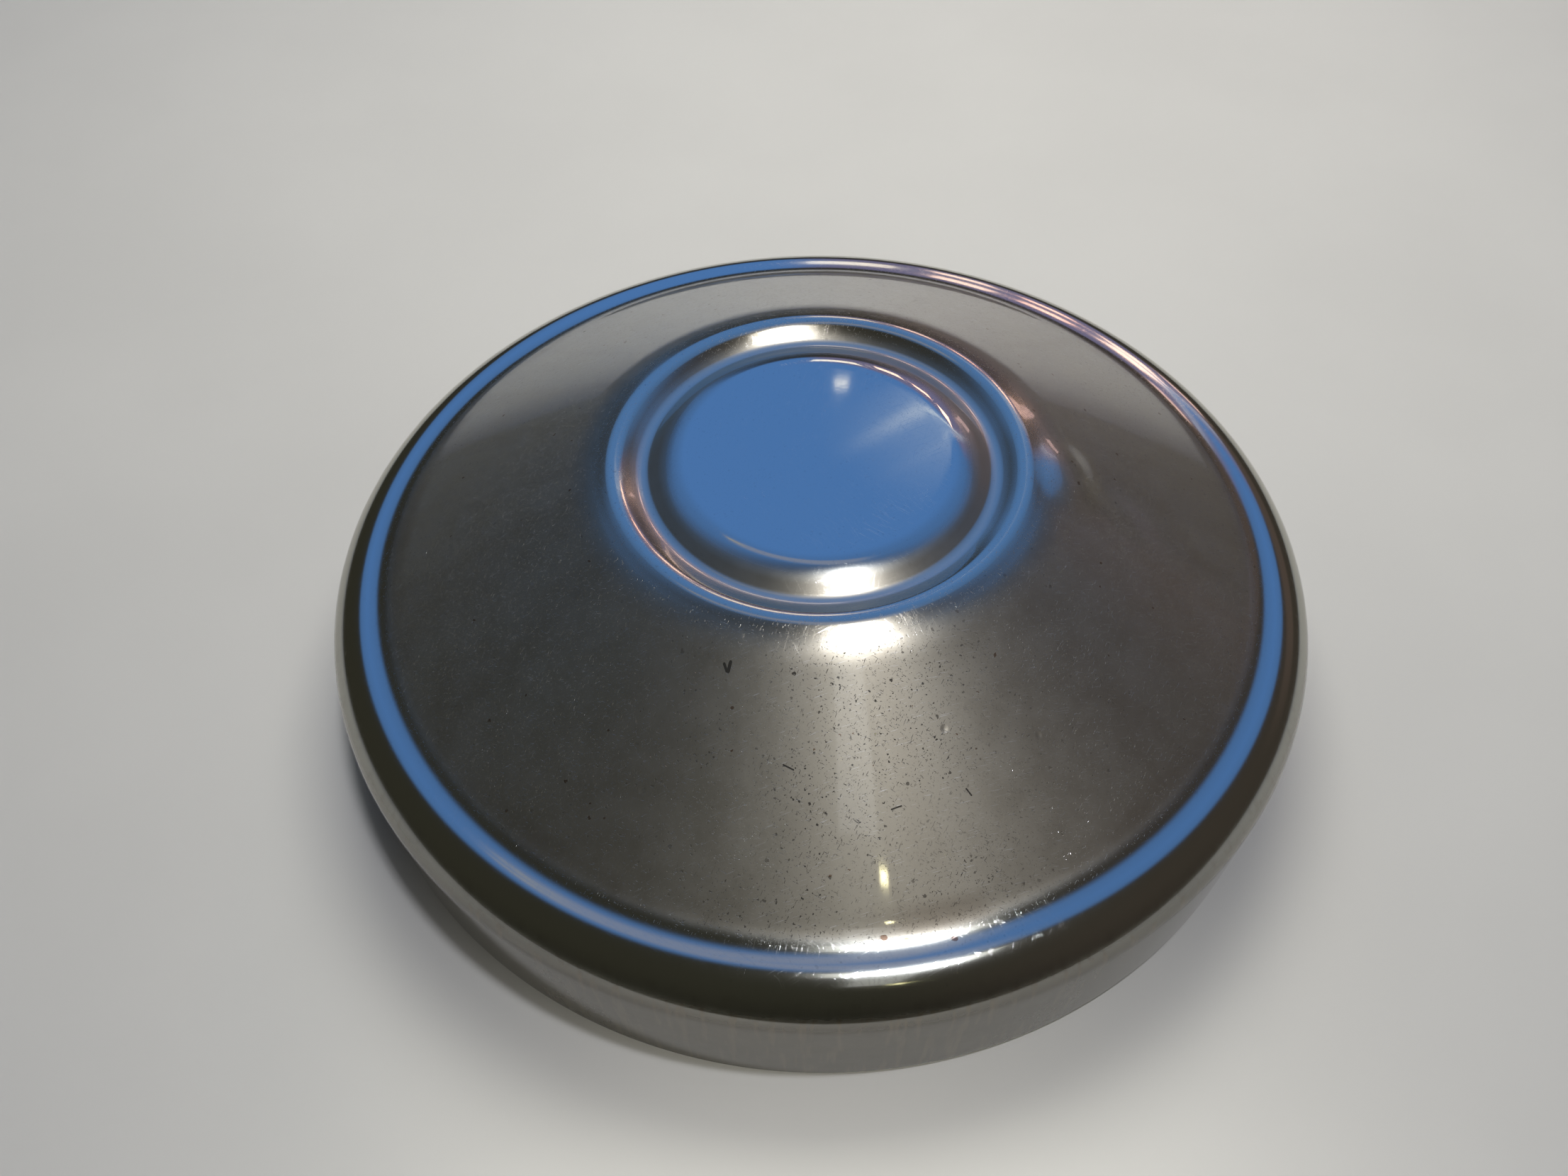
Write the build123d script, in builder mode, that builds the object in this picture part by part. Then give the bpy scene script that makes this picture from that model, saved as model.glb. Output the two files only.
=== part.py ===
from build123d import *
from math import atan2, cos, degrees, hypot, radians, sin, tan
import os

# A round stainless bedpan, lying on its seat with its base up.
# Millimetres. The origin is the centre of the plane that the pan rests on, and +Z
# points up through the base. Two sheet pressings are joined by a soldered seam.

# ---------------------------------------------------------------- sheet and joints
sheet_gauge = 0.9          # thickness of both pressings
assembly_clearance = 0.2   # gap left round the seat's edge before it is soldered

# ---------------------------------------------------------------- rolled edge and skirt
bulge_radius = 145.0       # widest point of the rolled edge
edge_height = 46.9         # top of the rolled edge above the rest plane
edge_bend_radius = 12.6    # outside radius of the rolled edge
edge_fall = 3.0            # degrees, fall from the gutter to the rolled edge
skirt_lean = 4.8           # degrees, the skirt leans in towards its foot
hem_width = 6.0            # foot of the skirt turned in under the seat
hem_bend_inside = 1.3      # inside radius of that turn

# ---------------------------------------------------------------- wall of the pan
gutter_flat = 0.4          # straight metal left between gutter and rolled edge
gutter_bend_radius = 18.0  # hollow where the sloping wall meets the gutter

# ---------------------------------------------------------------- base
base_height = 86.9         # flat of the base above the rest plane
base_flat_radius = 38.3    # flat disc of the base, to the corner of its edge
base_edge_inside = 11.1    # inside radius of the disc's edge
bevel_run = 5.5            # gentle slope round the disc
bevel_fall = 1.84          # fall of that slope
bevel_inside = 19.1        # inside radius where the slope gets steeper
groove_inner_run = 5.5     # from the gentle slope out to the foot of the groove
groove_fall = 2.51         # fall of that run
groove_bend_radius = 4.3   # hollow of the groove
groove_outer_run = 7.7     # from the foot of the groove out to the ridge
ridge_fall = 0.71          # corner of the ridge below the disc
ridge_inside = 4.8         # inside radius of the ridge
shoulder_run = 10.0        # from the ridge out to the shoulder at the top of the wall
shoulder_fall = 3.44       # corner of the shoulder below the ridge
shoulder_inside = 29.1     # inside radius of the shoulder

# ---------------------------------------------------------------- seat
joggle_run = 2.4           # length of the step that brings the seat flush with the hem
land_width = 6.5           # flat ring of the seat that lies on the rest plane
dish_run = 26.0            # sloping part of the seat, from the land to the neck
dish_rise = 9.0            # rise of that slope
neck_height = 9.0          # turned-in neck round the mouth
lip_width = 4.2            # the neck's edge folded back outwards
lip_drop = 3.4             # length of that fold
seat_bend_inside = 1.0     # small bends of the joggle and the lip
neck_bend_inside = 5.5     # broad bend from the seat into the neck

# ---------------------------------------------------------------- soldered seam
seam_width = 2.2           # solder on the seat's edge
seam_height = 3.2          # solder up the inside of the skirt


def turn_angle(before, corner, after):
    # Degrees that a path turns by at a corner.
    first = degrees(atan2(corner[1] - before[1], corner[0] - before[0]))
    second = degrees(atan2(after[1] - corner[1], after[0] - corner[0]))
    return abs((second - first + 180) % 360 - 180)


def fitted_radii(points, wanted):
    # Bend radii, made smaller only where two bends would meet on a short run.
    runs = [hypot(b[0] - a[0], b[1] - a[1]) for a, b in zip(points, points[1:])]
    tans = [
        tan(radians(turn_angle(*points[i : i + 3]) / 2)) for i in range(len(points) - 2)
    ]
    radii = list(wanted)
    for index, run in enumerate(runs):
        near = radii[index - 1] * tans[index - 1] if index > 0 else 0
        far = radii[index] * tans[index] if index < len(radii) else 0
        share = min(1, 0.99 * run / (near + far))
        if index > 0:
            radii[index - 1] *= share
        if index < len(radii):
            radii[index] *= share
    return radii


# ---------------------------------------------------------------- pan body, outer skin
# Rolled edge: an arc between the gutter's line and the skirt's line. Its corner lies
# on the bisector of the two lines' normals.
edge_centre = (bulge_radius - edge_bend_radius, edge_height - edge_bend_radius)
edge_half_turn = radians((90 - edge_fall + skirt_lean) / 2)
edge_bisector = radians((90 - edge_fall - skirt_lean) / 2)
edge_reach = edge_bend_radius / cos(edge_half_turn)
edge_corner = (
    edge_centre[0] + edge_reach * cos(edge_bisector),
    edge_centre[1] + edge_reach * sin(edge_bisector),
)
foot_radius = edge_corner[0] - edge_corner[1] * tan(radians(skirt_lean))

# Base: disc, gentle slope, groove, ridge and shoulder.
bevel_corner = (base_flat_radius + bevel_run, base_height - bevel_fall)
groove_corner = (bevel_corner[0] + groove_inner_run, bevel_corner[1] - groove_fall)
ridge_corner = (groove_corner[0] + groove_outer_run, base_height - ridge_fall)
shoulder_corner = (ridge_corner[0] + shoulder_run, ridge_corner[1] - shoulder_fall)

# Gutter: as far in from the rolled edge as the two bends need.
wall_slope = atan2(shoulder_corner[1] - edge_height, edge_centre[0] - shoulder_corner[0])
edge_tangent = edge_bend_radius * tan(edge_half_turn)
gutter_tangent = gutter_bend_radius * tan((wall_slope - radians(edge_fall)) / 2)
gutter_reach = edge_tangent + gutter_flat + gutter_tangent
gutter_corner = (
    edge_corner[0] - gutter_reach * cos(radians(edge_fall)),
    edge_corner[1] + gutter_reach * sin(radians(edge_fall)),
)

body_points = [
    (0, base_height),
    (base_flat_radius, base_height),
    bevel_corner,
    groove_corner,
    ridge_corner,
    shoulder_corner,
    gutter_corner,
    edge_corner,
    (foot_radius, 0),
    (foot_radius - hem_width, 0),
]
body_bends = [
    base_edge_inside + sheet_gauge,
    bevel_inside + sheet_gauge,
    groove_bend_radius,
    ridge_inside + sheet_gauge,
    shoulder_inside + sheet_gauge,
    gutter_bend_radius,
    edge_bend_radius,
    hem_bend_inside + sheet_gauge,
]

with BuildPart() as pan_body:
    with BuildSketch(Plane.XZ):
        with BuildLine():
            body_skin = FilletPolyline(*body_points, radius=fitted_radii(body_points, body_bends))
            offset(body_skin, amount=sheet_gauge, side=Side.RIGHT)
        make_face()
    revolve(axis=Axis.Z)

# ---------------------------------------------------------------- seat ring, outer skin
seat_edge_radius = foot_radius - sheet_gauge - hem_bend_inside - assembly_clearance
joggle_radius = foot_radius - hem_width - assembly_clearance - sheet_gauge
land_radius = joggle_radius - joggle_run
dish_radius = land_radius - land_width
neck_radius = dish_radius - dish_run
neck_top = dish_rise + neck_height

seat_points = [
    (seat_edge_radius, sheet_gauge),
    (joggle_radius, sheet_gauge),
    (land_radius, 0),
    (dish_radius, 0),
    (neck_radius, dish_rise),
    (neck_radius, neck_top),
    (neck_radius + lip_width, neck_top),
    (neck_radius + lip_width, neck_top - lip_drop),
]
seat_bends = [
    seat_bend_inside,
    seat_bend_inside + sheet_gauge,
    land_width,
    neck_bend_inside + sheet_gauge,
    seat_bend_inside + sheet_gauge,
    seat_bend_inside + sheet_gauge,
]

with BuildPart() as seat_ring:
    with BuildSketch(Plane.XZ):
        with BuildLine():
            seat_skin = FilletPolyline(*seat_points, radius=fitted_radii(seat_points, seat_bends))
            offset(seat_skin, amount=sheet_gauge, side=Side.RIGHT)
        make_face()
    revolve(axis=Axis.Z)

# ---------------------------------------------------------------- soldered seam
# A ring in the corner between the seat's edge and the skirt, cut back to both. Its
# outer side runs up the middle of the skirt's sheet, so the cut leaves one solid.
seam_floor = 2 * sheet_gauge
seam_top = seam_floor + seam_height
seam_inner = seat_edge_radius - seam_width
skirt_middle = foot_radius + seam_top * tan(radians(skirt_lean)) - sheet_gauge / 2

with BuildPart() as seam_solder:
    with BuildSketch(Plane.XZ):
        with BuildLine():
            Polyline(
                (seam_inner, seam_floor),
                (seam_inner, sheet_gauge),
                (foot_radius - sheet_gauge, sheet_gauge),
                (skirt_middle, seam_top),
                close=True,
            )
        make_face()
    revolve(axis=Axis.Z)
    add(pan_body.part, mode=Mode.SUBTRACT)
    add(seat_ring.part, mode=Mode.SUBTRACT)

# ---------------------------------------------------------------- files
os.makedirs("parts", exist_ok=True)

pan_body.part.label = "pan_body"
seat_ring.part.label = "seat_ring"
seam_solder.part.label = "seam_solder"

export_step(pan_body.part, "parts/pan_body.step")
export_step(seat_ring.part, "parts/seat_ring.step")
export_step(seam_solder.part, "parts/seam_solder.step")
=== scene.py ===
from math import atan2, cos, hypot, pi, radians, sin, tan

import bmesh
import bpy
from mathutils import Matrix, Vector


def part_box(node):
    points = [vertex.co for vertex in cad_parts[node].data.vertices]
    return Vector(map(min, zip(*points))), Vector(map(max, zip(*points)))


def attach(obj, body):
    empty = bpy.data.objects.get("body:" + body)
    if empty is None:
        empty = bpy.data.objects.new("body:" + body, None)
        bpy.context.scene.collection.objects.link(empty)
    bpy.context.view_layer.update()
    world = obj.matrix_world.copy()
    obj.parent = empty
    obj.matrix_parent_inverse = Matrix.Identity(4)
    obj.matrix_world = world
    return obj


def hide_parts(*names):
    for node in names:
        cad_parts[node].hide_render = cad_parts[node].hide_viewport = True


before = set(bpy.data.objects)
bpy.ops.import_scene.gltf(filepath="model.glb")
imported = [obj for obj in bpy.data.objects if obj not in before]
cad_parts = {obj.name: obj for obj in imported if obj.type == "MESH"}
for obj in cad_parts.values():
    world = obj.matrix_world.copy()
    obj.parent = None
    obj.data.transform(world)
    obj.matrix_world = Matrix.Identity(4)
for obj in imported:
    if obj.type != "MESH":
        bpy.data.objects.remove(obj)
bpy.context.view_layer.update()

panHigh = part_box("pan_body")[1]
bulgeRadius = panHigh.x  # widest point of the rolled edge
baseHeight = panHigh.z  # flat of the base above the floor
mm = 0.001
print("frame loaded, pan", round(2 * bulgeRadius / mm), "mm across")

# camera: one place, one look, nothing else
view = {
    "place": (-10.46 * mm, -286.26 * mm, 381.21 * mm),
    "pitch": 39.0,  # degrees up from straight down
    "roll": -1.124,
    "lens": 33.87,  # mm on a 36 mm sensor
}
lookout = bpy.data.cameras.new("lookout")
lookout.sensor_width = 36
lookout.lens = view["lens"]
lookout.clip_start = 0.01
camera = bpy.data.objects.new("lookout", lookout)
camera.matrix_world = (
    Matrix.Translation(view["place"])
    @ Matrix.Rotation(radians(view["pitch"]), 4, "X")
    @ Matrix.Rotation(radians(view["roll"]), 4, "Z")
)
bpy.context.scene.collection.objects.link(camera)
bpy.context.scene.camera = camera


def newObject(name, mesh):
    thing = bpy.data.objects.new(name, mesh)
    bpy.context.scene.collection.objects.link(thing)
    return thing


def lineMesh(name, points):
    # an open chain of edges in the XZ plane, which the turning tree spins about Z
    mesh = bpy.data.meshes.new(name)
    chain = [(i, i + 1) for i in range(len(points) - 1)]
    mesh.from_pydata([(r, 0, z) for r, z in points], chain, [])
    return mesh


def unitStep(a, b):
    length = hypot(b[0] - a[0], b[1] - a[1])
    return (b[0] - a[0]) / length, (b[1] - a[1]) / length, length


def between(a, b, share):
    return a[0] + share * (b[0] - a[0]), a[1] + share * (b[1] - a[1])


def roundedPath(corners, bends, arcStep=radians(5), runStep=1.9 * mm):
    # corners joined by straight runs, with an arc of the given radius at each inner corner
    path = [corners[0]]

    def addRun(target):
        start = path[-1]
        length = hypot(target[0] - start[0], target[1] - start[1])
        steps = max(1, round(length / runStep))
        for k in range(1, steps + 1):
            share = k / steps
            path.append(between(start, target, share))

    for before, corner, after, bend in zip(corners, corners[1:], corners[2:], bends):
        inX, inZ, _ = unitStep(before, corner)
        outX, outZ, _ = unitStep(corner, after)
        turn = atan2(inX * outZ - inZ * outX, inX * outX + inZ * outZ)
        reach = bend * tan(abs(turn) / 2)
        addRun((corner[0] - inX * reach, corner[1] - inZ * reach))
        side = 1 if turn > 0 else -1
        centre = (path[-1][0] - side * inZ * bend, path[-1][1] + side * inX * bend)
        armX, armZ = path[-1][0] - centre[0], path[-1][1] - centre[1]
        steps = max(2, round(abs(turn) / arcStep))
        for k in range(1, steps + 1):
            angle = turn * k / steps
            path.append((
                centre[0] + armX * cos(angle) - armZ * sin(angle),
                centre[1] + armX * sin(angle) + armZ * cos(angle),
            ))
    addRun(corners[-1])
    return path


def setInput(modifier, name, value):
    # a modifier's input goes by the socket's identifier
    for item in modifier.node_group.interface.items_tree:
        if item.item_type == "SOCKET" and item.in_out == "INPUT" and item.name == name:
            modifier[item.identifier] = value
            return
    raise KeyError(name)


class Tree:
    # short way to add nodes: values by socket name, a socket given as a value becomes a link
    def __init__(self, tree):
        self.tree = tree

    def add(self, kind, values=None, **settings):
        node = self.tree.nodes.new(kind)
        for key, value in settings.items():
            setattr(node, key, value)
        for key, value in (values or {}).items():
            if isinstance(value, bpy.types.NodeSocket):
                self.tree.links.new(value, node.inputs[key])
            else:
                node.inputs[key].default_value = value
        return node

    def math(self, operation, a, b=0.0, c=None, clamp=False):
        values = {0: a, 1: b}
        if c is not None:
            values[2] = c
        return self.add("ShaderNodeMath", values, operation=operation, use_clamp=clamp).outputs[0]

    def vector(self, operation, a, b=None, out=0):
        values = {0: a} if b is None else {0: a, 1: b}
        return self.add("ShaderNodeVectorMath", values, operation=operation).outputs[out]

    def scaled(self, a, amount):
        return self.add("ShaderNodeVectorMath", {0: a, "Scale": amount}, operation="SCALE").outputs[0]


weldGap = 0.02 * mm  # points nearer than this become one, at the poles and the closing seam
dentInputs = {"centre": "Vector", "along": "Vector", "reach": "Float", "stretch": "Float", "push": "Vector"}


def turningTree(name, dents):
    # a sheet spun from its outline, with dents knocked into it
    group = bpy.data.node_groups.new(name, "GeometryNodeTree")
    face = group.interface
    face.new_socket("Outline", in_out="INPUT", socket_type="NodeSocketGeometry")
    face.new_socket("Segments", in_out="INPUT", socket_type="NodeSocketInt")
    face.new_socket("Weld", in_out="INPUT", socket_type="NodeSocketFloat")
    face.new_socket("Finish", in_out="INPUT", socket_type="NodeSocketMaterial")
    for dent in dents:
        for part, kind in dentInputs.items():
            face.new_socket(dent + " " + part, in_out="INPUT", socket_type="NodeSocket" + kind)
    face.new_socket("Sheet", in_out="OUTPUT", socket_type="NodeSocketGeometry")
    t = Tree(group)
    given = t.add("NodeGroupInput").outputs
    size = t.add("GeometryNodeAttributeDomainSize", {"Geometry": given["Outline"]}, component="MESH")
    count = size.outputs["Point Count"]
    # a grid whose rows are the turn and whose columns are the outline's points
    rows = t.math("ADD", given["Segments"], 1)
    grid = t.add("GeometryNodeMeshGrid", {"Vertices X": rows, "Vertices Y": count}).outputs["Mesh"]
    index = t.add("GeometryNodeInputIndex").outputs[0]
    column = t.math("FLOORED_MODULO", index, count)
    row = t.math("FLOOR", t.math("DIVIDE", t.math("ADD", index, 0.5), count))
    place = t.add("GeometryNodeInputPosition").outputs[0]
    corner = t.add(
        "GeometryNodeSampleIndex",
        {"Geometry": given["Outline"]},
        data_type="FLOAT_VECTOR",
        domain="POINT",
    )
    t.tree.links.new(place, corner.inputs["Value"])
    t.tree.links.new(column, corner.inputs["Index"])
    turn = t.math("MULTIPLY", t.math("DIVIDE", row, given["Segments"]), 2 * pi)
    spun = t.add(
        "ShaderNodeVectorRotate",
        {"Vector": corner.outputs["Value"], "Angle": turn},
        rotation_type="Z_AXIS",
    ).outputs[0]
    sheet = t.add("GeometryNodeSetPosition", {"Geometry": grid, "Position": spun}).outputs[0]
    sheet = t.add("GeometryNodeMergeByDistance", {"Geometry": sheet, "Distance": given["Weld"]}).outputs[0]
    for dent in dents:
        away = t.vector("SUBTRACT", place, given[dent + " centre"])
        run = t.vector("DOT_PRODUCT", away, given[dent + " along"], out=1)
        lost = t.math("SUBTRACT", 1, t.math("DIVIDE", 1, given[dent + " stretch"]))
        short = t.scaled(given[dent + " along"], t.math("MULTIPLY", run, lost))
        near = t.vector("LENGTH", t.vector("SUBTRACT", away, short), out=1)
        span = {"From Min": 0.0, "From Max": given[dent + " reach"], "To Min": 1.0, "To Max": 0.0}
        fall = t.add(
            "ShaderNodeMapRange", {"Value": near, **span}, interpolation_type="SMOOTHERSTEP"
        ).outputs[0]
        push = t.scaled(given[dent + " push"], fall)
        sheet = t.add("GeometryNodeSetPosition", {"Geometry": sheet, "Offset": push}).outputs[0]
    sheet = t.add("GeometryNodeSetShadeSmooth", {"Geometry": sheet}).outputs[0]
    sheet = t.add("GeometryNodeRealizeInstances", {"Geometry": sheet}).outputs[0]
    sheet = t.add("GeometryNodeSetMaterial", {"Geometry": sheet, "Material": given["Finish"]}).outputs[0]
    t.add("NodeGroupOutput", {"Sheet": sheet})
    return group


def pointOutwards(mesh, side):
    # an open shell: make all faces agree, then turn them so that the outer side shows (1 up, -1 down)
    shell = bmesh.new()
    shell.from_mesh(mesh)
    bmesh.ops.recalc_face_normals(shell, faces=shell.faces)
    middles = {f: f.calc_center_median() for f in shell.faces}
    outer = max(shell.faces, key=lambda f: side * middles[f].z - 0.1 * middles[f].xy.length)
    if outer.normal.z * side < 0:
        bmesh.ops.reverse_faces(shell, faces=shell.faces)
    shell.to_mesh(mesh)
    shell.free()


def freeze(thing):
    # modifiers into a plain mesh
    bpy.context.view_layer.update()
    old = thing.data
    done = bpy.data.meshes.new_from_object(thing.evaluated_get(bpy.context.evaluated_depsgraph_get()))
    thing.modifiers.clear()
    thing.data = done
    bpy.data.meshes.remove(old)
    done.name = thing.name


def turnedRing(name, outline, segments, finish, dents):
    ring = newObject(name, lineMesh(name + "Outline", outline))
    spin = ring.modifiers.new("turning", "NODES")
    spin.node_group = turningTree(name + "Turning", list(dents))
    setInput(spin, "Segments", segments)
    setInput(spin, "Weld", weldGap)
    setInput(spin, "Finish", finish)
    for dent, values in dents.items():
        for part, value in values.items():
            setInput(spin, dent + " " + part, value)
    freeze(ring)
    shell = bmesh.new()
    shell.from_mesh(ring.data)
    bmesh.ops.recalc_face_normals(shell, faces=shell.faces)
    shell.to_mesh(ring.data)
    shell.free()
    return ring


def turnedSheet(name, outline, dents, segments, gauge, finish, side=1):
    sheet = turnedRing(name, outline, segments, finish, dents)
    pointOutwards(sheet.data, side)
    wall = sheet.modifiers.new("wall", "SOLIDIFY")
    wall.thickness = gauge
    wall.offset = -1
    freeze(sheet)
    return sheet


# steel: bare, spun round the axis, worn on the front
def newMaterial(name):
    material = bpy.data.materials.new(name)
    material.use_nodes = True
    material.node_tree.nodes.clear()
    return material, Tree(material.node_tree)


def ramp(t, value, low, high, bottom=0.0, top=1.0):
    # smooth step from one value to another
    return t.add(
        "ShaderNodeMapRange",
        {"Value": value, "From Min": low, "From Max": high, "To Min": bottom, "To Max": top},
        interpolation_type="SMOOTHSTEP",
    ).outputs[0]


def rise(t, value, span):
    # 0 to 1 between two places given in mm
    return ramp(t, value, span[0] * mm, span[1] * mm)


def fade(t, value, span):
    return ramp(t, value, span[0] * mm, span[1] * mm, 1.0, 0.0)


def zone(t, value, inner, outer, soft):
    # 1 between two places, fading over a soft edge
    begun = ramp(t, value, inner - soft, inner + soft)
    return t.math("SUBTRACT", begun, ramp(t, value, outer - soft, outer + soft))


def blend(t, share, a, b):
    # colours are given as sockets or as three parts
    a, b = [part if isinstance(part, bpy.types.NodeSocket) else (*part, 1) for part in (a, b)]
    return t.add("ShaderNodeMix", {0: share, 6: a, 7: b}, data_type="RGBA").outputs[2]


def product(t, *values):
    result = values[0]
    for value in values[1:]:
        result = t.math("MULTIPLY", result, value)
    return result


def highest(t, *values):
    result = values[0]
    for value in values[1:]:
        result = t.math("MAXIMUM", result, value)
    return result


def noise(t, place, scale, detail=2.0, out=0, **more):
    values = {"Vector": place, "Scale": scale, "Detail": detail, **more}
    return t.add("ShaderNodeTexNoise", values).outputs[out]


def cloud(t, place, scale, detail=2.0, low=0.4, high=0.6):
    # soft patches, 0 to 1
    return ramp(t, noise(t, place, scale, detail), low, high)


def specks(t, place, cell, size, spread):
    # round spots: cell is their spacing, size their radius, spread how much the radius varies
    cells = t.add("ShaderNodeTexVoronoi", {"Vector": place, "Scale": 1 / cell}).outputs
    chance = t.add("ShaderNodeSeparateColor", {0: cells["Color"]}).outputs[0]
    reach = t.math("MULTIPLY_ADD", chance, spread * size / cell, (1 - spread) * size / cell)
    return t.math("LESS_THAN", cells["Distance"], reach)


def strokes(t, place, angle, length, width, cover):
    # short straight marks that lie one way, turned by angle; cover is the share kept clear
    turned = t.add("ShaderNodeVectorRotate", {"Vector": place, "Angle": angle}, rotation_type="Z_AXIS")
    drawn = t.vector("MULTIPLY", turned.outputs[0], (1 / width, 1 / length, 1 / length))
    return ramp(t, noise(t, drawn, 1.0, 1.0), cover, cover + 0.03)


def fromAbove(t, place, spot):
    # the way from a spot to here, seen from above
    return t.vector("SUBTRACT", t.vector("MULTIPLY", place, (1, 1, 0)), [mm * v for v in (*spot, 0)])


def nick(t, place, start, end, width):
    # a short straight cut between two spots seen from above, in mm
    run = [mm * (b - a) for a, b in zip(start, end)] + [0]
    away = fromAbove(t, place, start)
    share = t.vector("DOT_PRODUCT", away, [part / sum(v * v for v in run) for part in run], out=1)
    share = t.math("MULTIPLY", share, 1.0, clamp=True)
    gap = t.vector("LENGTH", t.vector("SUBTRACT", away, t.scaled(run, share)), out=1)
    return t.math("LESS_THAN", gap, width * mm)


steel = {
    "colour": (0.471, 0.477, 0.426),
    "wornColour": (0.50, 0.455, 0.352),
    "skirtColour": (0.036, 0.027, 0.015),
    "edge": (0.62, 0.60, 0.52),  # tint at a grazing look
    # stain colour on the wall, also used for the painted shade along the gutter
    "stainAndShade": (0.30, 0.25, 0.18),
    # colour the skirt darkens to towards its foot
    "footDark": (0.022, 0.017, 0.010),
    "runs": (0.10, 0.072, 0.04),
    "pit": (0.035, 0.032, 0.028),
    "deepPit": (0.03, 0.025, 0.02),
    "tick": (0.04, 0.035, 0.03),
    "scuff": (0.85, 0.84, 0.80),
    "nick": (0.02, 0.018, 0.016),
    "rust": (0.12, 0.045, 0.012),
    "discRoughness": 0.045,
    "grooveRoughness": 0.34,
    "ridgeRoughness": 0.15,
    "shoulderRoughness": 0.425,
    "wallRoughness": 0.405,
    "rimRoughness": 0.13,
    "skirtRoughness": 0.36,
    "markRoughness": 0.55,
    "coat": 1.0,
    "coatRoughness": 0.045,
    "coatIor": 2.0,
    "spin": 0.475,
    # where each zone starts and ends, in mm from the axis or up from the floor
    "grooveStart": (39, 44),
    "ridgeStart": (50, 55),
    "wallStart": (57, 71),
    "wallEnd": (125.5, 129),
    "slope": (62, 105),
    "rimStart": (125.5, 128.5),
    "skirtStart": (136, 139),
    "skirtTop": (35.5, 45.5),
    "footTop": (2, 12),
    "wornStart": (40, 46),
    "wornEnd": (125, 129),
    # wear and relief
    "pitCell": 1.5 * mm,
    "pitSize": 0.32 * mm,
    "ringSpacing": 0.7 * mm,
    "ringDepth": 0.0007 * mm,
    "waveLength": 14 * mm,
    "waveDepth": 0.003 * mm,
    "scratchDepth": 0.0012 * mm,
    "markDepth": 0.02 * mm,
    "scratchAngles": (0.3, 1.1, 2.2, 2.7),
    # placed marks, in mm: start, end, half width
    "nicks": [
        ((-25.9, -66.8), (-25.3, -68.5), 0.34),
        ((-24.3, -66.6), (-24.9, -68.6), 0.42),
        ((-11.5, -90.0), (-9.0, -91.2), 0.18),
        ((34.0, -94.5), (35.2, -95.8), 0.20),
        ((17.5, -99.0), (15.0, -99.8), 0.16),
    ],
    "rustSpots": [
        ((11.9, -126.7), (12.5, -126.7), 0.6),
        ((17.5, -127.2), (18.1, -127.2), 0.45),
        ((29.2, -126.9), (29.8, -126.9), 0.55),
    ],
    # in mm: middle, radius, depth
    "dimples": [((29.0, -81.7), 1.15, 0.075), ((53.5, -80.5), 1.1, 0.03), ((-47.0, -92.0), 1.2, 0.03)],
}


def zoneRoughness(t, look, place, radius, wall, skirt):
    # by zone from the middle out, uneven in soft patches
    disc, groove, ridge = look["discRoughness"], look["grooveRoughness"], look["ridgeRoughness"]
    rough = t.math("MULTIPLY_ADD", rise(t, radius, look["grooveStart"]), groove - disc, disc)
    rough = t.math("MULTIPLY_ADD", rise(t, radius, look["ridgeStart"]), ridge - groove, rough)
    shoulder = look["shoulderRoughness"]
    slope = t.math("MULTIPLY_ADD", rise(t, radius, look["slope"]), look["wallRoughness"] - shoulder, shoulder)
    rough = t.math("MULTIPLY_ADD", wall, t.math("SUBTRACT", slope, ridge), rough)
    rough = t.math("MULTIPLY_ADD", rise(t, radius, look["rimStart"]), look["rimRoughness"] - ridge, rough)
    rough = t.math("MULTIPLY_ADD", skirt, look["skirtRoughness"] - look["rimRoughness"], rough)
    patches = noise(t, place, 90.0, 6.0, Roughness=0.68)
    return product(t, rough, ramp(t, patches, 0.3, 0.7, 0.94, 1.06))


def wear(t, look, place, x, y, radius, wall):
    # masks of the small marks, crowded on the front of the wall
    outside = ramp(t, radius, 44 * mm, 60 * mm, 0.35, 1.0)
    outside = product(t, outside, ramp(t, radius, 127 * mm, 131 * mm, 1.0, 0.2))
    front = product(t, fade(t, y, (-70, -50)), zone(t, x, -30 * mm, 42 * mm, 16 * mm))
    crowd = t.math("MULTIPLY_ADD", cloud(t, place, 35.0, 3.0, 0.36, 0.56), 0.7, 0.3)
    crowd = product(t, crowd, t.math("MULTIPLY_ADD", front, 0.65, 0.35), outside)
    shake = t.vector("SUBTRACT", noise(t, place, 1 / (0.7 * mm), 1.0, "Color"), (0.5, 0.5, 0.5))
    shaken = t.vector("ADD", place, t.scaled(shake, 0.9 * mm))
    chance = cloud(t, place, 1 / (3 * mm), 0.0, 0.35, 0.41)
    pits = product(t, specks(t, shaken, look["pitCell"], look["pitSize"], 0.8), crowd, chance)
    fine = product(t, specks(t, shaken, 0.55 * look["pitCell"], 0.42 * look["pitSize"], 0.7), crowd)
    ticks = highest(
        t,
        strokes(t, place, 0.5, 1.6 * mm, 0.20 * mm, 0.70),
        strokes(t, place, 2.0, 1.4 * mm, 0.18 * mm, 0.705),
    )
    masks = {
        "pit": highest(t, pits, fine),
        "deepPit": product(t, specks(t, shaken, 4.0 * mm, 0.5 * mm, 0.75), crowd),
        "wallRust": product(t, specks(t, shaken, 7.3 * mm, 0.6 * mm, 0.5), wall),
        "tick": product(t, ticks, crowd),
        "scuff": product(t, strokes(t, place, 1.3, 4 * mm, 0.14 * mm, 0.70), wall),
        "nick": highest(t, *[nick(t, place, *cut) for cut in look["nicks"]]),
        "rust": highest(t, *[nick(t, place, *cut) for cut in look["rustSpots"]]),
    }
    marks = highest(t, masks["pit"], masks["deepPit"], masks["nick"], product(t, ticks, outside))
    return masks, marks


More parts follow.
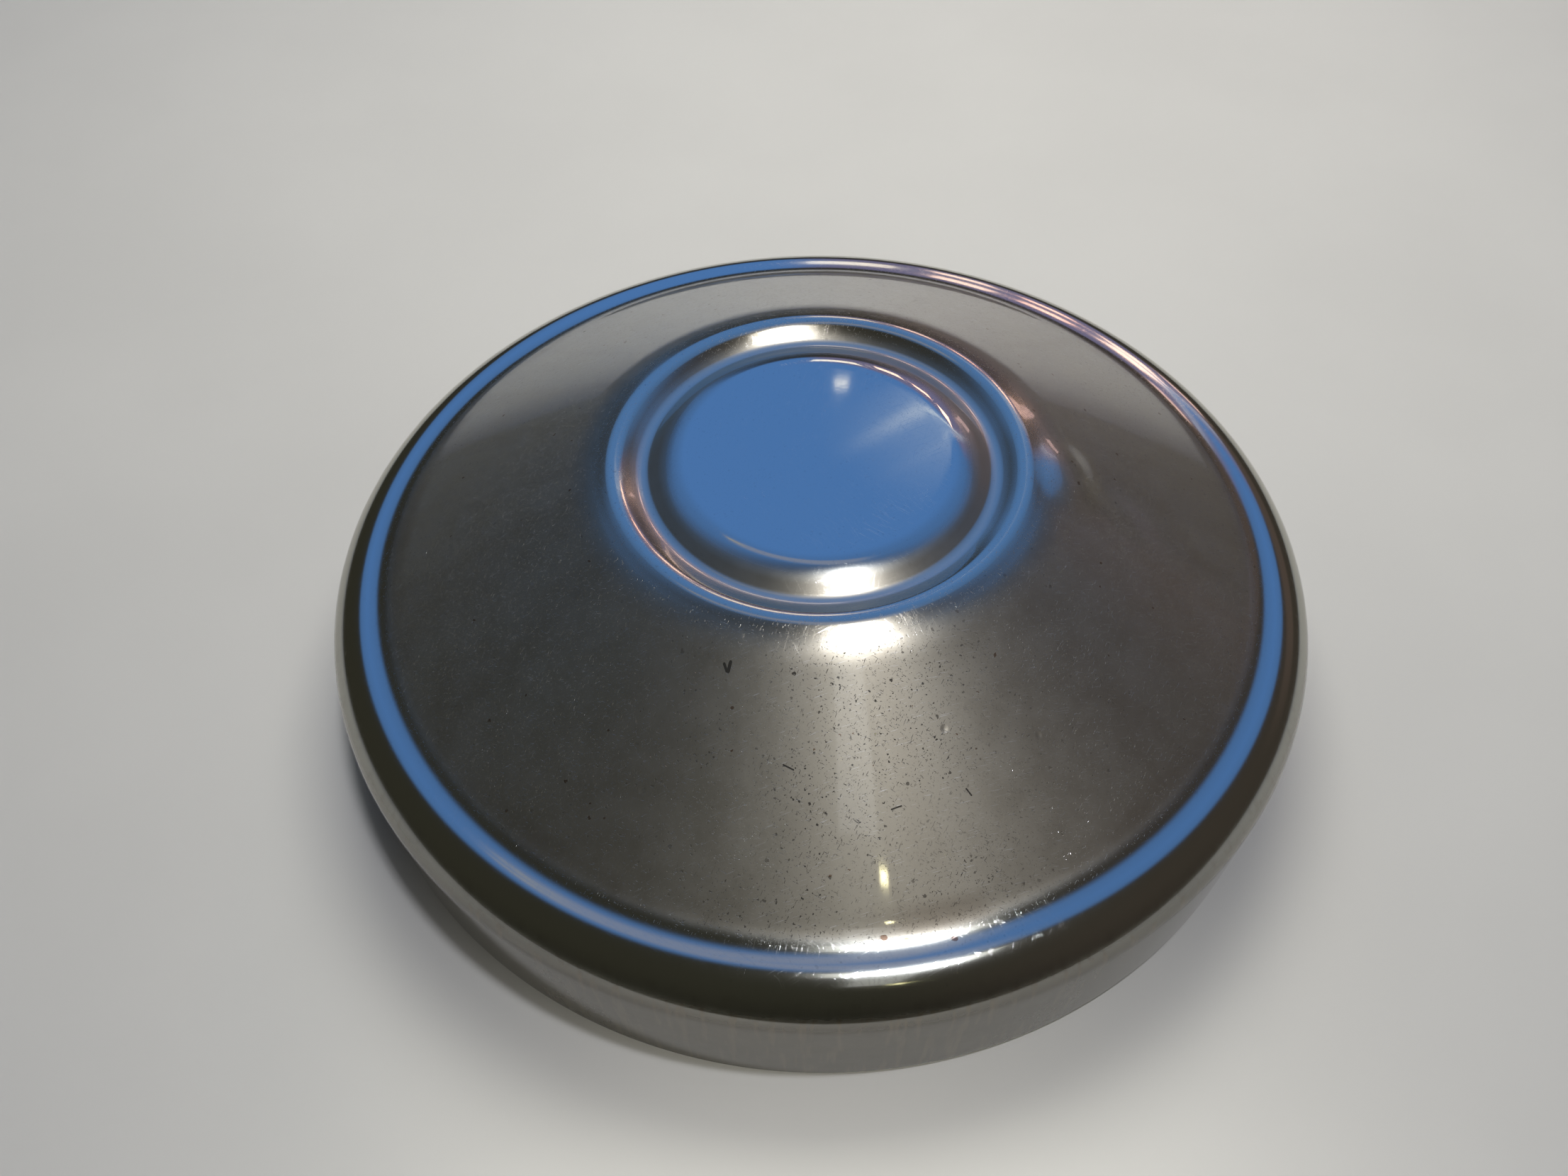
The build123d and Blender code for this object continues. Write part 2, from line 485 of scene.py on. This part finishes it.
def wornColour(t, look, place, z, radius, wall, skirt, masks):
    # base colour: zone tints, stains and small marks, with painted shade along the gutter
    worn = product(t, rise(t, radius, look["wornStart"]), fade(t, radius, look["wornEnd"]))
    colour = blend(t, skirt, blend(t, worn, look["colour"], look["wornColour"]), look["skirtColour"])
    # tarnish runs down the wall, and the skirt gets darker towards the foot, in patches higher up
    bearing = t.vector("NORMALIZE", t.vector("MULTIPLY", place, (1, 1, 0)))
    streaks = ramp(t, noise(t, bearing, 5.0, 4.0, Distortion=0.6), 0.45, 0.65)
    clouds = product(t, cloud(t, place, 16.0, 3.0, 0.42, 0.7), 0.06)
    tarnish = product(t, wall, t.math("ADD", clouds, product(t, streaks, 0.16)))
    colour = blend(t, tarnish, colour, look["stainAndShade"])
    low = product(t, ramp(t, z, 6 * mm, 26 * mm, 0.9, 0.25), cloud(t, place, 26.0, 4.0, 0.42, 0.62))
    footDark = product(t, skirt, highest(t, fade(t, z, look["footTop"]), low))
    colour = blend(t, footDark, colour, look["footDark"])
    for mask, tint, share in (
        ("pit", "pit", 0.85),
        ("deepPit", "deepPit", 0.8),
        ("wallRust", "rust", 0.7),
        ("tick", "tick", 0.8),
        ("scuff", "scuff", 0.5),
    ):
        colour = blend(t, product(t, masks[mask], share), colour, look[tint])
    # painted shade along the gutter, in patches, and streaks that run down the skirt
    gutter = zone(t, radius, 121.5 * mm, 128 * mm, 2.0 * mm)
    gutterShade = product(t, gutter, cloud(t, place, 22.0, 4.0, 0.46, 0.66), 0.55)
    colour = blend(t, gutterShade, colour, look["stainAndShade"])
    runs = cloud(t, t.vector("MULTIPLY", place, (420, 420, 26)), 1.0, 2.0, 0.50, 0.70)
    colour = blend(t, product(t, skirt, runs, 0.6), colour, look["runs"])
    colour = blend(t, product(t, masks["nick"], 0.85), colour, look["nick"])
    return blend(t, product(t, masks["rust"], 0.8), colour, look["rust"])


def reliefHeight(t, look, place, x, y, z, radius, wall, marks):
    # turned rings, slow waves, scratches, marks and dimples
    drawn = t.add("ShaderNodeCombineXYZ", {
        "X": t.math("DIVIDE", t.math("ADD", radius, z), look["ringSpacing"]),
        "Y": t.math("MULTIPLY", x, 18.0),
        "Z": t.math("MULTIPLY", y, 18.0),
    }).outputs[0]
    scratches = [strokes(t, place, turn, 11 * mm, 0.11 * mm, 0.70) for turn in look["scratchAngles"]]
    relief = t.math("MULTIPLY", noise(t, drawn, 1.0, 3.0), look["ringDepth"])
    relief = t.math("MULTIPLY_ADD", noise(t, place, 1 / look["waveLength"]), look["waveDepth"], relief)
    relief = t.math("MULTIPLY_ADD", highest(t, *scratches), -look["scratchDepth"], relief)
    relief = t.math("MULTIPLY_ADD", product(t, marks, wall), -look["markDepth"], relief)
    for spot, size, depth in look["dimples"]:
        gap = t.vector("LENGTH", fromAbove(t, place, spot), out=1)
        relief = t.math("SUBTRACT", relief, ramp(t, gap, 0.0, size * mm, depth * mm, 0.0))
    return relief


def spunSteel(name, look):
    material, t = newMaterial(name)
    place = t.add("ShaderNodeTexCoord").outputs["Object"]
    x, y, z = t.add("ShaderNodeSeparateXYZ", {"Vector": place}).outputs
    radius = t.math("SQRT", t.math("ADD", product(t, x, x), product(t, y, y)))
    wall = product(t, rise(t, radius, look["wallStart"]), fade(t, radius, look["wallEnd"]))
    skirt = product(t, rise(t, radius, look["skirtStart"]), fade(t, z, look["skirtTop"]))
    masks, marks = wear(t, look, place, x, y, radius, wall)
    rough = zoneRoughness(t, look, place, radius, wall, skirt)
    relief = reliefHeight(t, look, place, x, y, z, radius, wall, marks)
    bump = t.add("ShaderNodeBump", {"Height": relief, "Strength": 1.0, "Distance": 1.0}).outputs[0]
    shader = t.add(
        "ShaderNodeBsdfPrincipled",
        {
            "Base Color": wornColour(t, look, place, z, radius, wall, skirt, masks),
            "Metallic": 1.0,
            "Roughness": highest(t, rough, product(t, marks, look["markRoughness"])),
            "Specular Tint": (*look["edge"], 1),
            "Coat Weight": look["coat"],
            "Coat Roughness": look["coatRoughness"],
            "Coat IOR": look["coatIor"],
            "Anisotropic": look["spin"],
            "Anisotropic Rotation": 0.25,  # a quarter turn, so the highlight runs out from the axis
            "Tangent": t.add("ShaderNodeTangent", direction_type="RADIAL", axis="Z").outputs[0],
            "Normal": bump,
            "Coat Normal": bump,
        },
    )
    t.add("ShaderNodeOutputMaterial", {"Surface": shader.outputs[0]})
    return material


panSteel = spunSteel("spunSteel", steel)

# pan body: base disc, groove, ridge, sloping wall, gutter, rolled edge, skirt, hem
pan = {
    "gauge": 0.9 * mm,
    "segments": 320,
    "edgeHeight": 46.9 * mm,
    "edgeBend": 12.6 * mm,
    "edgeFall": radians(3.0),
    "skirtLean": radians(4.8),
    "hemWidth": 6.0 * mm,
    "hemBend": 2.2 * mm,
    "gutterFlat": 0.4 * mm,
    "gutterBend": 18.0 * mm,
    "discRadius": 38.3 * mm,
    "discBend": 12.0 * mm,
    "bevelRun": 5.5 * mm,
    "bevelFall": 1.84 * mm,
    "bevelBend": 20.0 * mm,
    "grooveInnerRun": 5.5 * mm,
    "grooveFall": 2.80 * mm,
    "grooveBend": 4.3 * mm,
    "grooveOuterRun": 7.7 * mm,
    "ridgeFall": 0.30 * mm,
    "ridgeBend": 5.7 * mm,
    "shoulderRun": 10.0 * mm,
    "shoulderFall": 3.60 * mm,
    "shoulderBend": 30.0 * mm,
}


def panOutline(p):
    # the same corners as the solid: the rolled edge is an arc between gutter and skirt
    centreR, centreZ = bulgeRadius - p["edgeBend"], p["edgeHeight"] - p["edgeBend"]
    halfTurn = (pi / 2 - p["edgeFall"] + p["skirtLean"]) / 2
    bisector = (pi / 2 - p["edgeFall"] - p["skirtLean"]) / 2
    reach = p["edgeBend"] / cos(halfTurn)
    edge = (centreR + reach * cos(bisector), centreZ + reach * sin(bisector))
    foot = edge[0] - edge[1] * tan(p["skirtLean"])
    bevel = (p["discRadius"] + p["bevelRun"], baseHeight - p["bevelFall"])
    groove = (bevel[0] + p["grooveInnerRun"], bevel[1] - p["grooveFall"])
    ridge = (groove[0] + p["grooveOuterRun"], baseHeight - p["ridgeFall"])
    shoulder = (ridge[0] + p["shoulderRun"], ridge[1] - p["shoulderFall"])
    slope = atan2(shoulder[1] - p["edgeHeight"], centreR - shoulder[0])
    back = p["edgeBend"] * tan(halfTurn) + p["gutterFlat"]
    back += p["gutterBend"] * tan((slope - p["edgeFall"]) / 2)
    gutter = (edge[0] - back * cos(p["edgeFall"]), edge[1] + back * sin(p["edgeFall"]))
    corners = [
        (0, baseHeight),
        (p["discRadius"], baseHeight),
        bevel,
        groove,
        ridge,
        shoulder,
        gutter,
        edge,
        (foot, 0),
        (foot - p["hemWidth"], 0),
    ]
    bends = [
        p["discBend"], p["bevelBend"], p["grooveBend"], p["ridgeBend"],
        p["shoulderBend"], p["gutterBend"], p["edgeBend"], p["hemBend"],
    ]
    return roundedPath(corners, bends)


outline = panOutline(pan)
print("pan outline has", len(outline), "points, foot at", round(outline[-1][0] / mm, 2))
dents = {
    "shoulderKnock": {
        "centre": (70.5 * mm, -5 * mm, 82 * mm), "along": (0, 1, 0),
        "reach": 13 * mm, "stretch": 1.45, "push": (0.2 * mm, 0, 1.35 * mm),
    },
    "fold": {
        "centre": (86 * mm, -12 * mm, 70 * mm), "along": (0.65, -0.61, -0.45),
        "reach": 9 * mm, "stretch": 1.8, "push": (-0.16 * mm, 0, -0.30 * mm),
    },
}
panSkin = turnedSheet("panSkin", outline, dents, pan["segments"], pan["gauge"], panSteel)
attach(panSkin, "root")
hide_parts("pan_body")
print("pan skin", len(panSkin.data.polygons), "faces")

# seat: a ring joggled flush with the hem, dished up to a neck with a folded lip
seat = {
    "gauge": 0.9 * mm,
    "segments": 240,
    "waveDepth": 0.02 * mm,
    "clearance": 0.2 * mm,
    "hemInside": 1.3 * mm,
    "joggleRun": 2.4 * mm,
    "landWidth": 6.5 * mm,
    "dishRun": 26.0 * mm,
    "dishRise": 9.0 * mm,
    "neckHeight": 9.0 * mm,
    "lipWidth": 4.2 * mm,
    "lipDrop": 3.4 * mm,
    "smallBend": 1.0 * mm,
    "neckBend": 5.5 * mm,
}
footRadius = outline[-1][0] + pan["hemWidth"]


def seatOutline(p):
    gauge = p["gauge"]
    rimR = footRadius - gauge - p["hemInside"] - p["clearance"]
    joggleR = footRadius - pan["hemWidth"] - p["clearance"] - gauge
    dishR = joggleR - p["joggleRun"] - p["landWidth"]
    neckR, neckTop = dishR - p["dishRun"], p["dishRise"] + p["neckHeight"]
    lipR = neckR + p["lipWidth"]
    corners = [
        (rimR, gauge), (joggleR, gauge), (joggleR - p["joggleRun"], 0), (dishR, 0),
        (neckR, p["dishRise"]), (neckR, neckTop), (lipR, neckTop), (lipR, neckTop - p["lipDrop"]),
    ]
    small = p["smallBend"] + gauge
    bends = [p["smallBend"], small, p["landWidth"], p["neckBend"] + gauge, small, small]
    return roundedPath(corners, bends, radians(12))


seatPath = seatOutline(seat)
seatSteel = spunSteel("seatSteel", {**steel, "waveDepth": seat["waveDepth"]})
seatSkin = turnedSheet("seatSkin", seatPath, {}, seat["segments"], seat["gauge"], seatSteel, side=-1)
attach(seatSkin, "root")
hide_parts("seat_ring")
print("seat skin", len(seatSkin.data.polygons), "faces")

# solder: a hollow fillet between the seat's edge and the skirt, lumpy along its length
seam = {
    "width": 2.2 * mm,
    "height": 3.2 * mm,
    "segments": 240,
    "sag": 0.5 * mm,
    "sagSteps": 6,
    "lump": 0.18 * mm,
    "lumpLength": 9 * mm,
    "colour": (0.34, 0.33, 0.31),
    "dark": (0.22, 0.20, 0.17),
    "roughness": 0.45,
}


def seamOutline(p):
    gauge = seat["gauge"]
    floorZ, topZ = 2 * gauge, 2 * gauge + p["height"]
    rimR = seatPath[0][0]
    lean = tan(pan["skirtLean"])
    inside = footRadius - gauge / cos(pan["skirtLean"])
    start, end = (rimR - p["width"], floorZ), (inside + topZ * lean, topZ)
    face = []
    for k in range(p["sagSteps"] + 1):
        share = k / p["sagSteps"]
        sink = 0.7 * p["sag"] * 4 * share * (1 - share)
        r, z = between(start, end, share)
        face.append((r + sink, z - sink))
    return [(rimR, floorZ), *face, (inside + gauge * lean, gauge), (rimR, gauge), (rimR, floorZ)]


def lumpTree(name):
    # pushes the turned bead in and out along its own normals
    group = bpy.data.node_groups.new(name, "GeometryNodeTree")
    face = group.interface
    face.new_socket("Bead", in_out="INPUT", socket_type="NodeSocketGeometry")
    for part in ("Lump", "Length"):
        face.new_socket(part, in_out="INPUT", socket_type="NodeSocketFloat")
    face.new_socket("Finish", in_out="INPUT", socket_type="NodeSocketMaterial")
    face.new_socket("Bead", in_out="OUTPUT", socket_type="NodeSocketGeometry")
    t = Tree(group)
    given = t.add("NodeGroupInput").outputs
    place = t.add("GeometryNodeInputPosition").outputs[0]
    bumps = noise(t, place, t.math("DIVIDE", 1, given["Length"]), 1.0)
    push = t.math("MULTIPLY", t.math("SUBTRACT", bumps, 0.6), given["Lump"])
    push = t.scaled(t.add("GeometryNodeInputNormal").outputs[0], push)
    bead = t.add("GeometryNodeSetPosition", {"Geometry": given["Bead"], "Offset": push}).outputs[0]
    bead = t.add("GeometryNodeRealizeInstances", {"Geometry": bead}).outputs[0]
    bead = t.add("GeometryNodeSetMaterial", {"Geometry": bead, "Material": given["Finish"]}).outputs[0]
    t.add("NodeGroupOutput", {"Bead": bead})
    return group


def solderMaterial(name, look):
    material, t = newMaterial(name)
    place = t.add("ShaderNodeTexCoord").outputs["Object"]
    colour = blend(t, cloud(t, place, 120.0, 3.0), look["colour"], look["dark"])
    values = {"Base Color": colour, "Metallic": 1.0, "Roughness": look["roughness"]}
    t.add("ShaderNodeOutputMaterial", {"Surface": t.add("ShaderNodeBsdfPrincipled", values).outputs[0]})
    return material


solder = solderMaterial("solder", seam)
seamBead = turnedRing("seamBead", seamOutline(seam), seam["segments"], solder, {})
shaped = seamBead.modifiers.new("lumps", "NODES")
shaped.node_group = lumpTree("lumps")
setInput(shaped, "Lump", seam["lump"])
setInput(shaped, "Length", seam["lumpLength"])
setInput(shaped, "Finish", solder)
freeze(seamBead)
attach(seamBead, "root")
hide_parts("seam_solder")
print("seam bead", len(seamBead.data.polygons), "faces")

# floor: one pale plane, like a table top that ends a little in front of the pan
floor = {
    "half": 2.5,
    "front": -0.212,
    "colour": (0.71, 0.70, 0.655),
    "darker": 0.965,  # share left in the darker patches
    "patches": 9.0,
    "roughness": 0.6,
}
floorMesh = bpy.data.meshes.new("floor")
floorMesh.from_pydata(
    [
        (-floor["half"], floor["front"], 0), (floor["half"], floor["front"], 0),
        (floor["half"], floor["half"], 0), (-floor["half"], floor["half"], 0),
    ],
    [],
    [(0, 1, 2, 3)],
)
floorPaint, t = newMaterial("paleFloor")
place = t.add("ShaderNodeTexCoord").outputs["Object"]
darkColour = [part * floor["darker"] for part in floor["colour"]]
colour = blend(t, cloud(t, place, floor["patches"], 3.0, 0.3, 0.7), floor["colour"], darkColour)
shader = t.add("ShaderNodeBsdfPrincipled", {"Base Color": colour, "Roughness": floor["roughness"]})
t.add("ShaderNodeOutputMaterial", {"Surface": shader.outputs[0]})
floorMesh.materials.append(floorPaint)
newObject("floor", floorMesh)

# lights, as a mirror lying flat would show them: each panel is level and faces down, its
# place and size are shares of its height, and its glow is its own brightness
lampHeight = 3.0
mirrorHeight = 0.05  # the flat mirror lies about as high as the pan's wall
lamps = {
    "mainLamp": {"place": (0.156, -0.125), "size": (0.115, 0.045), "glow": (154.0, 157.0, 174.0)},
    "mainGlow": {"place": (0.155, -0.13), "size": (0.30, 0.16), "glow": (0.9, 0.9, 0.85), "behind": 0.05},
    "frontSoft": {"place": (0.13, -0.45), "size": (0.14, 0.36), "glow": (0.46, 0.46, 0.46), "behind": 0.05},
    "yellowLamp": {"place": (0.212, -0.672), "size": (0.026, 0.014), "glow": (22.0, 20.0, 11.0)},
    "spot": {"place": (0.062, 1.063), "size": (0.015, 0.010), "glow": (2.4, 2.1, 1.5)},
}
# lamps that stand at the far side and face the pan: compass bearing and height in degrees
sideLamps = {
    "rowA": {"bearing": 4, "height": 29, "size": (5, 8), "glow": (1.6, 1.40, 1.05)},
    "rowB": {"bearing": 12, "height": 23, "size": (4, 8), "glow": (2.4, 1.60, 1.15)},
    "rowC": {"bearing": 18, "height": 26, "size": (3.5, 5), "glow": (3.2, 1.75, 1.20)},
    "rowD": {"bearing": 24, "height": 30.5, "size": (4, 6), "glow": (3.3, 2.10, 1.55)},
    "rowE": {"bearing": 32, "height": 20, "size": (5, 3.5), "glow": (1.8, 1.15, 1.05)},
}
# soft lamps that only the table shows, one over the back and one low along the front
tableLamp = {"place": (0.05, 0.35, 0.72), "size": (0.5, 0.5), "glow": (4.9, 4.8, 4.45)}
frontLamp = {"place": (0.0, -0.215, 0.09), "size": (0.20, 0.06), "glow": (2.0, 1.94, 1.78)}


def hangLamp(name, place, turned, size, glow):
    light = bpy.data.lights.new(name, "AREA")
    light.shape = "RECTANGLE"
    light.size, light.size_y = size
    light.color = [part / max(glow) for part in glow]
    light.energy = max(glow) * pi * light.size * light.size_y
    hung = bpy.data.objects.new(name, light)
    hung.location = place
    hung.rotation_euler = turned
    hung.visible_camera = False
    bpy.context.scene.collection.objects.link(hung)
    return hung


for name, lamp in lamps.items():
    height = lampHeight * (1 + lamp.get("behind", 0))
    x, y = (share * height for share in lamp["place"])
    size = [share * height for share in lamp["size"]]
    hangLamp(name, (x, y, height + mirrorHeight), (0, 0, 0), size, lamp["glow"])
for name, lamp in sideLamps.items():
    bearing, height = radians(lamp["bearing"]), radians(lamp["height"])
    towards = Vector((sin(bearing) * cos(height), cos(bearing) * cos(height), sin(height)))
    size = [2 * lampHeight * tan(radians(side / 2)) for side in lamp["size"]]
    hangLamp(name, towards * lampHeight, towards.to_track_quat("Z", "Y").to_euler(), size, lamp["glow"])

for name, lamp in (("tableLamp", tableLamp), ("frontLamp", frontLamp)):
    hangLamp(name, lamp["place"], (0, 0, 0), lamp["size"], lamp["glow"]).visible_glossy = False

# room: dim all round, with one wide blue window high up, shown by what a flat mirror sees
room = {
    "dim": (0.042, 0.040, 0.029),
    "warm": (0.064, 0.053, 0.043),
    "wall": (0.122, 0.090, 0.075),
    "blue": (0.120, 0.305, 0.775),
    "edgeBlue": (0.105, 0.245, 0.585),
    "violet": (0.25, 0.235, 0.43),
    "pale": (1.00, 1.12, 1.35),
    "haze": (0.39, 0.42, 0.56),
    "cream": (0.45, 0.46, 0.50),
    "table": (0.03, 0.03, 0.03),  # what matt things get from it
    "centre": (0.05, 1.10),
    "half": (0.98, 1.03),
    "spread": 0.19,  # how much wider the window gets beyond its middle
    # the pale streaks: near side, far side, soft edge, strength
    "streaks": [(0.757, 0.775, 0.012, 1.0), (0.711, 0.723, 0.012, 0.6), (0.68, 0.80, 0.03, 0.25)],
}


def roomWorld(p):
    world = bpy.data.worlds.new("room")
    world.use_nodes = True
    world.node_tree.nodes.clear()
    t = Tree(world.node_tree)
    way = t.add("ShaderNodeSeparateXYZ", {"Vector": t.add("ShaderNodeTexCoord").outputs["Generated"]}).outputs
    up = t.math("MAXIMUM", way["Z"], 0.02)
    across, ahead = t.math("DIVIDE", way["X"], up), t.math("DIVIDE", way["Y"], up)
    # round at the near end, with straight sides that spread beyond the middle
    beyond = t.math("SUBTRACT", ahead, p["centre"][1])
    half = t.math("MULTIPLY_ADD", t.math("MAXIMUM", beyond, 0.0), p["spread"], p["half"][0])
    aside = t.math("DIVIDE", t.math("SUBTRACT", across, p["centre"][0]), half)
    short = t.math("DIVIDE", t.math("MINIMUM", beyond, 0.0), p["half"][1])
    reach = t.math("SQRT", t.math("ADD", product(t, aside, aside), product(t, short, short)))
    window = product(t, ramp(t, reach, 0.92, 1.10, 1.0, 0.0), ramp(t, way["Z"], 0.12, 0.26))
    sky = blend(t, ramp(t, reach, 0.3, 1.0), p["blue"], p["edgeBlue"])
    rightBack = product(t, ramp(t, across, -0.05, 0.2), ramp(t, ahead, 1.15, 1.5))
    sky = blend(t, rightBack, sky, p["violet"])
    # two long pale streaks that slant
    along = t.math("MULTIPLY_ADD", across, 0.82, t.math("MULTIPLY", ahead, 0.57))
    over = t.math("MULTIPLY_ADD", across, -0.57, t.math("MULTIPLY", ahead, 0.82))
    streaks = [product(t, zone(t, over, near, far, soft), share) for near, far, soft, share in p["streaks"]]
    glare = product(t, highest(t, *streaks), ramp(t, along, 0.58, 0.76))
    # a hazy patch over the near end of the window, brightest at its left end
    out = t.math("MULTIPLY_ADD", across, 0.894, t.math("MULTIPLY_ADD", ahead, -0.447, 0.188))
    off = t.math("MULTIPLY_ADD", across, 0.447, t.math("MULTIPLY_ADD", ahead, 0.894, -0.197))
    haze = product(t, zone(t, out, -0.26, 0.30, 0.08), zone(t, off, -0.08, 0.08, 0.05))
    sky = blend(t, product(t, haze, 0.75), sky, p["haze"])
    cream = product(t, zone(t, out, -0.29, -0.20, 0.03), zone(t, off, -0.03, 0.03, 0.02))
    sky = blend(t, cream, sky, p["cream"])
    # dim all round, warmer to the right, with a low wall there
    low = product(t, zone(t, way["Z"], 0.26, 0.50, 0.04), ramp(t, way["Y"], 0.1, 0.5))
    colour = blend(t, ramp(t, way["X"], 0.0, 0.8), p["dim"], p["warm"])
    colour = blend(t, product(t, low, ramp(t, way["X"], -0.1, 0.3)), colour, p["wall"])
    colour = blend(t, window, colour, blend(t, glare, sky, p["pale"]))
    colour = blend(t, t.add("ShaderNodeLightPath").outputs["Is Diffuse Ray"], colour, p["table"])
    back = t.add("ShaderNodeBackground", {"Color": colour, "Strength": 1.0})
    t.add("ShaderNodeOutputWorld", {"Surface": back.outputs[0]})
    return world


bpy.context.scene.world = roomWorld(room)
bpy.context.scene.view_settings.view_transform = "Standard"
